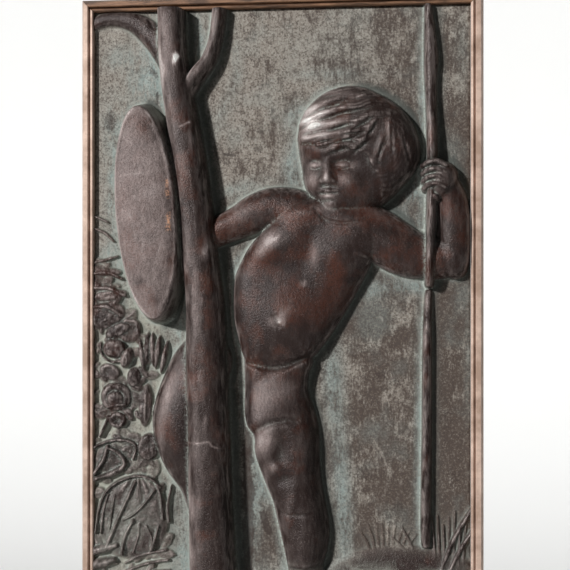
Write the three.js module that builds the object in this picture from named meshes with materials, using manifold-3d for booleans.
// Cast bronze relief plaque of a standing child with a spear beside a forked tree and a hanging shield.
// Millimetres. The wall side is the plane y = 0, the relief faces -Y, +X is the viewer's right, +Z is up.
// The origin is the middle of the flat back. Places on the relief are written (x, z), and a height is
// how far a form stands in front of the plate's face.
import * as THREE from 'three';
import { mergeVertices } from 'three/addons/utils/BufferGeometryUtils.js';
import Module from 'manifold-3d';

const wasm = await Module();
wasm.setup();

// Driving dimensions.
const PLATE_WIDTH = 450;
const PLATE_HEIGHT = 750;
const PLATE_THICKNESS = 10;
const ROOT_DEPTH = 4; // how deep every form is rooted in the plate
const FRAME_WIDTH = 15;
const FRAME_RISE = 9; // frame's highest member above the plate's face
const JOINT_GAP = 0.3; // clearance left where two pieces touch
const RIGHT = PLATE_WIDTH / 2;
const TOP = PLATE_HEIGHT / 2;

const bronze = new THREE.MeshStandardMaterial({ color: 0x5a4a44, roughness: 0.5, metalness: 0.8 });
const copper = new THREE.MeshStandardMaterial({ color: 0xb99a84, roughness: 0.55, metalness: 0.6 });

// ---- Solids and booleans ----

/** Merge a geometry's shared vertices, turn its faces outward and hand it over as a solid. */
function solidFrom(geometry) {
  geometry.deleteAttribute('normal');
  geometry.deleteAttribute('uv');
  const merged = mergeVertices(geometry, 1e-4);
  const vertProperties = new Float32Array(merged.attributes.position.array);
  const triVerts = new Uint32Array(merged.index.array);
  if (signedVolume(vertProperties, triVerts) < 0) {
    for (let i = 0; i < triVerts.length; i += 3) {
      const held = triVerts[i];
      triVerts[i] = triVerts[i + 1];
      triVerts[i + 1] = held;
    }
  }
  return new wasm.Manifold(new wasm.Mesh({ numProp: 3, vertProperties, triVerts }));
}

/** Volume enclosed by a triangle mesh, negative when its faces point inward. */
function signedVolume(points, triangles) {
  const [a, b, c] = [new THREE.Vector3(), new THREE.Vector3(), new THREE.Vector3()];
  let sum = 0;
  for (let i = 0; i < triangles.length; i += 3) {
    a.fromArray(points, 3 * triangles[i]);
    b.fromArray(points, 3 * triangles[i + 1]);
    c.fromArray(points, 3 * triangles[i + 2]);
    sum += a.dot(b.cross(c)) / 6;
  }
  return sum;
}

/** Turn a finished solid back into a geometry for a mesh. */
function geometryFrom(solid) {
  const mesh = solid.getMesh();
  const geometry = new THREE.BufferGeometry();
  geometry.setAttribute('position', new THREE.BufferAttribute(new Float32Array(mesh.vertProperties), 3));
  geometry.setIndex(new THREE.BufferAttribute(new Uint32Array(mesh.triVerts), 1));
  return geometry;
}

/** Put a point given as (x, z, height above the plate's face) into the part's frame. */
function onPlate(x, z, height) {
  return new THREE.Vector3(x, -(PLATE_THICKNESS + height), z);
}

/** Move each vertex of a geometry to where place(vertex) says. */
function reshape(geometry, place) {
  const position = geometry.attributes.position;
  const vertex = new THREE.Vector3();
  for (let i = 0; i < position.count; i += 1) {
    vertex.fromBufferAttribute(position, i);
    const moved = place(vertex);
    position.setXYZ(i, moved.x, moved.y, moved.z);
  }
  return geometry;
}

// ---- The two shapes that the relief is built from ----

/** Height of a section at its rim angle: a rounded top, and a flat root under the plate's face. */
function sectionHeight(sine, height, power) {
  return sine < -1e-6 ? -ROOT_DEPTH : height * Math.abs(sine) ** (2 / power);
}

/** How far soft bumps [x, z, half width, half height, amount] raise the surface at a point, fading outward. */
function swelling(bumps, x, z) {
  return bumps.reduce((sum, [atX, atZ, halfWidth, halfHeight, amount]) => (
    sum + amount * Math.exp(-(((x - atX) / halfWidth) ** 2) - ((z - atZ) / halfHeight) ** 2)
  ), 0);
}

/**
 * A limb, stem or branch: a half-round bar along a smooth path through stations [x, z, half width,
 * height]. A power above 2 squares its section, round ends taper to the path's ends, and bumps swell it.
 */
function limb(stations, {
  steps = 3 * (stations.length - 1), sides = 10, power = 2, ends = 'round', bumps = [],
} = {}) {
  const path = new THREE.CatmullRomCurve3(stations.map(([x, z]) => new THREE.Vector3(x, z, 0)));
  const girth = new THREE.CatmullRomCurve3(stations.map(([, , w, h]) => new THREE.Vector3(w, h, 0)));
  const length = path.getLength();
  const geometry = new THREE.CylinderGeometry(1, 1, 1, sides, steps);
  reshape(geometry, (vertex) => {
    const t = THREE.MathUtils.clamp(vertex.y + 0.5, 0, 1);
    const centre = path.getPoint(t);
    const along = path.getTangent(t);
    const size = girth.getPoint(t);
    const toEnd = Math.min(t, 1 - t) * length;
    const reach = Math.min(1, toEnd / size.x);
    const taper = ends === 'round' ? Math.max(0.3, Math.sqrt(1 - (1 - reach) ** 2)) : 1;
    const radius = Math.hypot(vertex.x, vertex.z);
    if (radius < 0.5) return onPlate(centre.x, centre.y, 0);
    const [cosine, sine] = [vertex.x / radius, vertex.z / radius];
    const across = Math.sign(cosine) * Math.abs(cosine) ** (2 / power) * size.x * taper;
    const [x, z] = [centre.x + along.y * across, centre.y - along.x * across];
    const swell = Math.max(0, sine) * taper * swelling(bumps, x, z);
    return onPlate(x, z, sectionHeight(sine, size.y * taper, power) + swell);
  });
  return solidFrom(geometry);
}

/**
 * A rounded mound [x, z, half width, half height, rise], leaned by a number of degrees. A power above 2
 * flattens its top, and bumps swell it.
 */
function mound([x, z, halfWidth, halfHeight, rise], {
  lean = 0, around = 10, over = 6, power = 2, bumps = [],
} = {}) {
  const [cosine, sine] = [Math.cos(lean * THREE.MathUtils.DEG2RAD), Math.sin(lean * THREE.MathUtils.DEG2RAD)];
  const geometry = new THREE.SphereGeometry(1, around, over);
  reshape(geometry, (vertex) => {
    const [u, v] = [vertex.x * halfWidth, vertex.z * halfHeight];
    const [atX, atZ] = [x + u * cosine + v * sine, z - u * sine + v * cosine];
    if (vertex.y < -1e-6) return onPlate(atX, atZ, -ROOT_DEPTH + vertex.y * 0.5);
    const out = Math.min(1, Math.hypot(vertex.x, vertex.z));
    const height = rise * (1 - out ** power) ** (1 / power);
    return onPlate(atX, atZ, height + vertex.y * swelling(bumps, atX, atZ));
  });
  return solidFrom(geometry);
}

/** Several stems that share one height: each is a list of points [x, z, half width]. */
function stems(height, lines, options = {}) {
  return lines.map((points) => {
    const stations = points.map(([x, z, halfWidth]) => [x, z, halfWidth, height]);
    return limb(stations, { steps: Math.ceil(1.5 * (points.length - 1)) + 1, sides: 6, ...options });
  });
}

// ---- Tree, shield and spear ----

/** The forked trunk that stands in front of the child, and its three branches. */
function tree() {
  const trunk = limb([
    [-75, -392, 42, 40], [-77, -346, 31, 38], [-79, -281, 27, 38], [-83, -150, 24, 37], [-87, -31, 24, 36], [-90, 29, 22, 36],
    [-102, 148, 21, 35], [-118, 256, 20, 33], [-126, 310, 17, 31], [-130, 392, 16, 30],
  ], { steps: 18, sides: 12, power: 2.5, ends: 'cut' });
  const fork = limb([
    [-118, 258, 11, 27], [-99, 295, 10, 24], [-84, 314, 9, 22], [-76, 338, 8.5, 20], [-70, 392, 9, 19],
  ], { power: 2.4, ends: 'cut' });
  const arch = limb([
    [-130, 318, 11, 12], [-154, 346, 10, 9], [-178, 363, 9, 8], [-205, 367, 9, 7], [-240, 358, 8, 6],
  ], { ends: 'cut' });
  return [trunk, fork, arch];
}

/** The tall oval shield: a thick slab with drafted sides and a gently domed face, leaning to the right. */
function shield() {
  const [halfWidth, halfHeight, lean] = [36, 126, 4.8 * THREE.MathUtils.DEG2RAD];
  const [centreX, centreZ] = [-154, 132];
  const profile = [[0, -ROOT_DEPTH], [6.5, -ROOT_DEPTH], [6, 0], [1.5, 34], [-1.5, 39.5], [-6, 42.5], [-20, 45]]
    .map(([offset, height], index) => new THREE.Vector2(index === 0 ? 0 : halfWidth + offset, height));
  profile.push(new THREE.Vector2(0, 46));
  const geometry = new THREE.LatheGeometry(profile, 36);
  reshape(geometry, (vertex) => {
    const radius = Math.hypot(vertex.x, vertex.z);
    const stretch = radius > halfWidth ? (halfHeight + radius - halfWidth) / radius : halfHeight / halfWidth;
    const [u, v] = [vertex.x, vertex.z * stretch];
    return onPlate(
      centreX + u * Math.cos(lean) - v * Math.sin(lean),
      centreZ + v * Math.cos(lean) + u * Math.sin(lean),
      vertex.y,
    );
  });
  return [solidFrom(geometry)];
}

/** The spear: a leaf-shaped head, a shaft that goes in front of the arm and is broken below it, a blunt butt. */
function spear() {
  const upper = limb([
    [175.5, 392, 3, 10], [177, 356, 6, 12], [179, 316, 8.3, 14], [178.5, 288, 7.5, 14], [179, 250, 6.3, 15],
    [180, 190, 6.2, 24], [178.5, 110, 6, 29], [177, 43, 5.6, 22],
  ], { steps: 11, sides: 8, ends: 'cut' });
  const lower = limb([
    [175, 44, 5.2, 10], [174.5, -20, 5.4, 11], [174, -123, 5.8, 11], [173, -230, 6, 11], [173, -264, 5.4, 9],
  ], { steps: 9, sides: 8 });
  return [upper, lower];
}

// ---- The child ----

/** Chest, belly, shoulders and the smooth pelvis, leaning from the hips up to the child's left. */
function torso() {
  const trunk = limb([
    [76, 178, 30, 18], [66, 150, 44, 22], [50, 120, 63, 28], [38, 92, 72, 31], [26, 58, 76, 33], [15, 25, 70, 36], [8, -5, 60, 37],
    [0, -32, 49, 34], [-1, -54, 42, 28],
  ], {
    steps: 17,
    sides: 18,
    power: 2.4,
    bumps: [[8, 2, 40, 34, 6], [0, 92, 26, 18, 7], [72, 80, 26, 19, 7], [36, 92, 8, 30, -3]], // belly, chest
  });
  const pelvis = mound([0, -50, 41, 34, 28], { around: 14 });
  return [trunk, pelvis];
}

/** The two arms: one runs back behind the trunk, the other bends up to the spear. */
function arms() {
  const near = limb([
    [60, 120, 30, 26], [22, 130, 28, 26], [-8, 138, 24, 23], [-30, 131, 21.5, 22], [-56, 119, 19, 20], [-86, 106, 17, 18],
  ], { steps: 10, sides: 10 });
  const upper = limb([
    [72, 118, 32, 28], [98, 112, 33, 29], [119, 103, 31, 27], [142, 90, 29, 25], [168, 80, 26, 22], [204, 76, 20, 20],
  ], { steps: 10, sides: 11 });
  const fore = limb([
    [206, 66, 17, 19], [205, 99, 20.5, 22], [205, 124, 20, 22], [202, 146, 18, 22], [196, 166, 15, 22],
  ], { sides: 10 });
  const palm = mound([193, 170, 20, 23, 31], { lean: 12 });
  const fingers = [0, 1, 2, 3].map((finger) => {
    const z = 187 - 9.2 * finger;
    return limb([[194, z + 3, 5.5, 31], [180, z + 2, 5.2, 34], [168 + finger, z - 2, 4.4, 24]], { sides: 7 });
  });
  return [near, upper, fore, palm, ...fingers];
}

/** The standing leg with its foot, and the bent leg whose knee shows beyond the trunk. */
function legs() {
  const standing = limb([
    [0, -14, 36, 24], [-1, -56, 38, 28], [0, -84, 38, 33], [2, -108, 42, 36], [7, -132, 36, 36], [9, -150, 36, 35],
    [17, -178, 30, 28], [25, -206, 31, 30], [30, -236, 29, 29], [33, -266, 22, 25], [34, -292, 18, 24],
    [33, -318, 19, 26],
  ], {
    steps: 20,
    sides: 12,
    power: 2.3,
    bumps: [[-4, -119, 60, 7, -8], [-8, -140, 15, 16, 5], [29, -220, 22, 30, 2]], // fold over the knee, knee, calf
  });
  const foot = limb([[36, -306, 18, 26], [26, -324, 23, 28], [18, -336, 25, 22]], { sides: 10 });
  const toes = [0, 1, 2, 3, 4].map((toe) => mound([-3 + 10 * toe, -342 + 1.2 * toe, 6.5 - 0.6 * toe, 7, 20 - toe],
    { around: 8, over: 4 }));
  const bent = limb([
    [-66, -50, 40, 24], [-102, -66, 38, 28], [-120, -104, 33, 31], [-116, -140, 32, 30], [-92, -182, 26, 24],
    [-80, -230, 20, 18],
  ], { sides: 14, power: 2.2 });
  return [standing, foot, ...toes, bent];
}

/** Skull, face and hair. The face is a plain calm child's, turned a little to the viewer's left. */
function head() {
  const skull = mound([101, 204, 64, 75, 36], { lean: -18, around: 17, over: 8, power: 2.4 });
  const face = mound([65, 174, 39, 48, 39], {
    lean: 6,
    around: 22,
    over: 12,
    power: 2.8,
    bumps: [
      [62, 201, 30, 9, 3], // brow
      [45, 187, 10, 8, -4.5], [79, 187, 12, 8, -5], // eye hollows
      [41, 166, 11, 12, 3], [85, 165, 15, 14, 4], [60.5, 138, 11, 7, 4], // cheeks, chin
    ],
  });
  const features = [
    mound([60, 176, 7, 14, 48.5], { lean: -3, around: 8 }), // nose
    mound([45.5, 186, 7, 3.8, 39.5], { around: 8 }), // one lowered lid
    mound([78.5, 186, 8, 4, 40], { around: 8 }), // the other lid
    mound([60, 155.5, 9.5, 3, 44], { around: 8 }), // upper lip
    mound([60.5, 149.5, 8, 3, 44], { around: 8 }), // lower lip
  ];
  const locks = [
    [[30, 226, 6, 31], [44, 250, 10, 36], [66, 266, 12, 38], [92, 270, 12, 38], [118, 260, 8, 38]],
    [[30, 214, 5, 36], [47, 236, 10, 41], [70, 250, 12, 44], [98, 252, 11, 43], [120, 244, 7, 41]],
    [[38, 206, 5, 40], [55, 222, 10, 44], [76, 232, 11, 46], [100, 234, 10, 44], [118, 230, 6, 41]],
    [[62, 203, 5, 41], [78, 212, 8, 44], [98, 218, 9, 44], [114, 218, 6, 41]],
    [[120, 263, 7, 37], [143, 250, 11, 37], [157, 226, 11, 35], [159, 200, 10, 34], [148, 174, 9, 30], [128, 148, 6, 24]],
    [[119, 250, 7, 40], [137, 236, 10, 41], [146, 216, 10, 40], [145, 194, 9, 38], [134, 170, 8, 34], [116, 150, 5, 28]],
    [[118, 238, 6, 41], [130, 222, 9, 43], [132, 202, 9, 42], [124, 182, 8, 40], [112, 164, 6, 35]],
    [[116, 226, 6, 41], [118, 210, 8, 43], [112, 196, 7, 42], [103, 182, 5, 39]],
  ].map((lock) => limb(lock, { steps: 6, sides: 7 }));
  return [skull, face, ...features, ...locks];
}

// ---- Ground and plants ----

/** The bush at the lower left: buds, cupped leaves, crossing stems and one large ribbed leaf. */
function bush() {
  const rims = stems(7, [
    [[-217, -27, 1.8], [-214, -38, 2.4], [-203, -45, 2.4], [-192, -44, 1.8]],
    [[-215, -112, 2], [-220, -93, 2.4], [-216, -79, 2.4], [-205, -69, 2.7], [-190, -65, 2.4]],
    [[-190, -73, 1.8], [-179, -77, 2.4], [-175, -88, 2.4], [-178, -97, 1.8], [-175, -112, 1.6]],
    [[-201, -105, 1.6], [-188, -107, 1.9], [-184, -116, 1.9], [-189, -124, 1.8], [-200, -126, 1.6]],
    [[-207, -114, 3], [-217, -135, 2.4]],
    [[-224, -150, 2.4], [-207, -142, 2.6], [-188, -141, 2.8], [-173, -147, 3], [-177, -163, 2.4]],
    [[-223, -186, 4.8], [-202, -180, 5.6], [-186, -169, 5.2], [-194, -155, 3.6], [-208, -150, 2.4]],
    [[-224, -182, 4.2], [-213, -164, 4.8], [-208, -151, 4.2]],
    [[-158, -10, 3.4], [-160, -31, 5], [-158, -50, 3.6]],
    [[-142, -14, 3.8], [-147, -34, 6], [-154, -50, 3.6]],
    [[-132, -30, 3.6], [-139, -41, 5], [-142, -50, 2.4]],
    [[-194, -21, 2.4], [-186, -8, 5.5], [-173, -2, 6.5], [-160, -10, 4]],
  ]);
  const ledges = stems(5, [
    [[-228, 131, 2.4], [-208, 122, 2.4]],
    [[-228, 115, 2.6], [-212, 109, 3], [-201, 100, 2.4]],
    [[-228, 73, 2.4], [-210, 77, 3.6], [-196, 81, 2.4]],
    [[-228, 60, 3.6], [-208, 61, 4.8], [-192, 55, 3.6]],
    [[-228, 42, 4.8], [-206, 42, 6], [-187, 35, 4.8]],
  ]);
  const blobs = [
    mound([-200, -30, 14.5, 11, 13]), mound([-184, -41, 7, 13, 11], { lean: -20 }),
    mound([-172, -66, 8, 11, 9]), mound([-199, -87, 18, 15, 12]), mound([-197, -117, 11, 9, 10]),
    mound([-208, 12, 22, 16, 9]), mound([-156, -171, 19, 15, 8]), mound([-210, -165, 16, 20, 4]),
  ];
  const leaf = mound([-178, -234, 45, 50, 10], { around: 14 });
  const ribs = stems(13, [
    [[-222, -250, 3], [-218, -222, 3], [-209, -202, 3], [-194, -191, 3], [-175, -184, 3], [-143, -194, 2.4]],
    [[-207, -207, 1.8], [-213, -226, 2.4], [-215, -250, 2.4]],
    [[-197, -210, 1.8], [-202, -230, 2.4], [-204, -252, 2]],
    [[-174, -192, 2], [-184, -212, 3], [-197, -240, 5], [-209, -268, 5]],
    [[-188, -234, 2.2], [-175, -228, 2.4], [-161, -214, 2.4], [-150, -200, 2]],
    [[-147, -195, 2], [-142, -211, 2.2], [-141, -232, 2]],
    [[-130, -196, 2], [-134, -214, 2.5], [-133, -236, 2]],
    [[-158, -244, 2], [-152, -258, 2.2], [-154, -271, 2]],
    [[-143, -244, 2.4], [-147, -258, 2.4], [-151, -271, 2]],
    [[-178, -240, 4.8], [-187, -257, 4.8], [-189, -275, 3.6]],
  ]);
  const blades = stems(9, [
    [[-185, -287, 2], [-162, -276, 3], [-136, -272, 3.6]],
    [[-185, -297, 2.4], [-158, -287, 3], [-134, -284, 2.4]],
    [[-230, -275, 6], [-213, -271, 7], [-196, -267, 4.8]],
    [[-230, -292, 7], [-212, -288, 7], [-200, -284, 3.6]],
    [[-222, -352, 5], [-208, -322, 6], [-186, -302, 4]],
    [[-196, -356, 6], [-180, -330, 8], [-150, -308, 5]],
    [[-166, -358, 5], [-146, -338, 7], [-118, -320, 4]],
  ]);
  return [...rims, ...ledges, ...blobs, leaf, ...ribs, ...blades];
}

/** The strip of ground under the feet and the tufts of grass at the right. */
function groundAndGrass() {
  const ground = limb([[-250, -372, 26, 12], [-60, -374, 28, 16], [60, -372, 30, 18], [250, -366, 30, 12]],
    { steps: 12, sides: 8, ends: 'cut' });
  const bank = mound([150, -330, 118, 72, 6], { around: 14 });
  const fan = [0, 1, 2, 3, 4, 5].map((blade) => {
    const spread = (blade - 2.5) / 2.5;
    const reach = 48 - 10 * Math.abs(spread);
    const [x, z] = [129 + 16 * spread, -284];
    return [[x, z, 3], [x + 8 * spread, z + 0.6 * reach, 2.4], [x + 18 * spread, z + reach, 1.4]];
  });
  const tuft = [0, 1, 2, 3, 4].map((blade) => {
    const x = 188 + 6 * blade;
    return [[x, -300, 3.6], [x - 2 + blade, -256, 3.2], [x - 3 + 2 * blade, -220 - 4 * (blade % 2), 1.8]];
  });
  const bent = [
    [[192, -284, 5], [208, -248, 4.6], [228, -212, 3]],
    [[197, -292, 5], [213, -262, 4.6], [229, -238, 3]],
    [[166, -300, 3.5], [157, -262, 3], [146, -240, 1.8]],
  ];
  return [ground, bank, ...stems(9, [...fan, ...tuft, ...bent], { sides: 6 })];
}

// ---- Casting and frame ----

/** The whole relief in one solid: every form joined to the plate and trimmed square at its edges. */
function reliefCasting() {
  const plateBox = new THREE.BoxGeometry(PLATE_WIDTH, PLATE_THICKNESS, PLATE_HEIGHT);
  plateBox.translate(0, -PLATE_THICKNESS / 2, 0);
  const trimDepth = 80;
  const trimBox = new THREE.BoxGeometry(PLATE_WIDTH, trimDepth, PLATE_HEIGHT);
  trimBox.translate(0, -trimDepth / 2, 0);
  const forms = [
    ...bush(), ...groundAndGrass(), ...legs(), ...torso(), ...arms(), ...head(), ...spear(), ...shield(),
    ...tree(),
  ];
  const joined = forms.reduce((sum, form) => sum.add(form), solidFrom(plateBox));
  return geometryFrom(joined.intersect(solidFrom(trimBox)));
}

/** One mitred frame strip along an edge: the moulding runs from the plate's edge outward. */
function frameStrip(edgeLength) {
  const outline = new THREE.Shape();
  const face = PLATE_THICKNESS;
  outline.moveTo(JOINT_GAP, 0);
  outline.lineTo(JOINT_GAP, face + FRAME_RISE - 3);
  outline.absarc(JOINT_GAP + 2, face + FRAME_RISE - 3, 2, Math.PI, 0, true);
  outline.lineTo(4.6, face + 4.2);
  outline.lineTo(5.6, face + 4.2);
  outline.lineTo(6.2, face + FRAME_RISE - 1);
  outline.lineTo(7.2, face + FRAME_RISE);
  outline.lineTo(12, face + FRAME_RISE);
  outline.lineTo(FRAME_WIDTH - 1, face + 4);
  outline.lineTo(FRAME_WIDTH, face + 2.5);
  outline.lineTo(FRAME_WIDTH, 0);
  outline.closePath();
  const geometry = new THREE.ExtrudeGeometry(outline, { depth: 1, steps: 1, bevelEnabled: false, curveSegments: 4 });
  reshape(geometry, (vertex) => {
    const halfLength = edgeLength / 2 + vertex.x - 0.7 * JOINT_GAP;
    return new THREE.Vector3((2 * vertex.z - 1) * halfLength, -vertex.y, vertex.x);
  });
  return geometryFrom(solidFrom(geometry));
}

const group = new THREE.Group();

const casting = new THREE.Mesh(reliefCasting(), bronze);
casting.name = 'relief_casting';
group.add(casting);

const strips = [
  { name: 'frame_top', turn: 0, edge: PLATE_WIDTH, offset: TOP },
  { name: 'frame_left', turn: -Math.PI / 2, edge: PLATE_HEIGHT, offset: RIGHT },
  { name: 'frame_bottom', turn: Math.PI, edge: PLATE_WIDTH, offset: TOP },
  { name: 'frame_right', turn: Math.PI / 2, edge: PLATE_HEIGHT, offset: RIGHT },
];
for (const { name, turn, edge, offset } of strips) {
  const strip = new THREE.Mesh(frameStrip(edge), copper);
  strip.name = name;
  strip.rotation.y = turn;
  strip.position.set(Math.sin(turn) * offset, 0, Math.cos(turn) * offset);
  group.add(strip);
}

export default group;
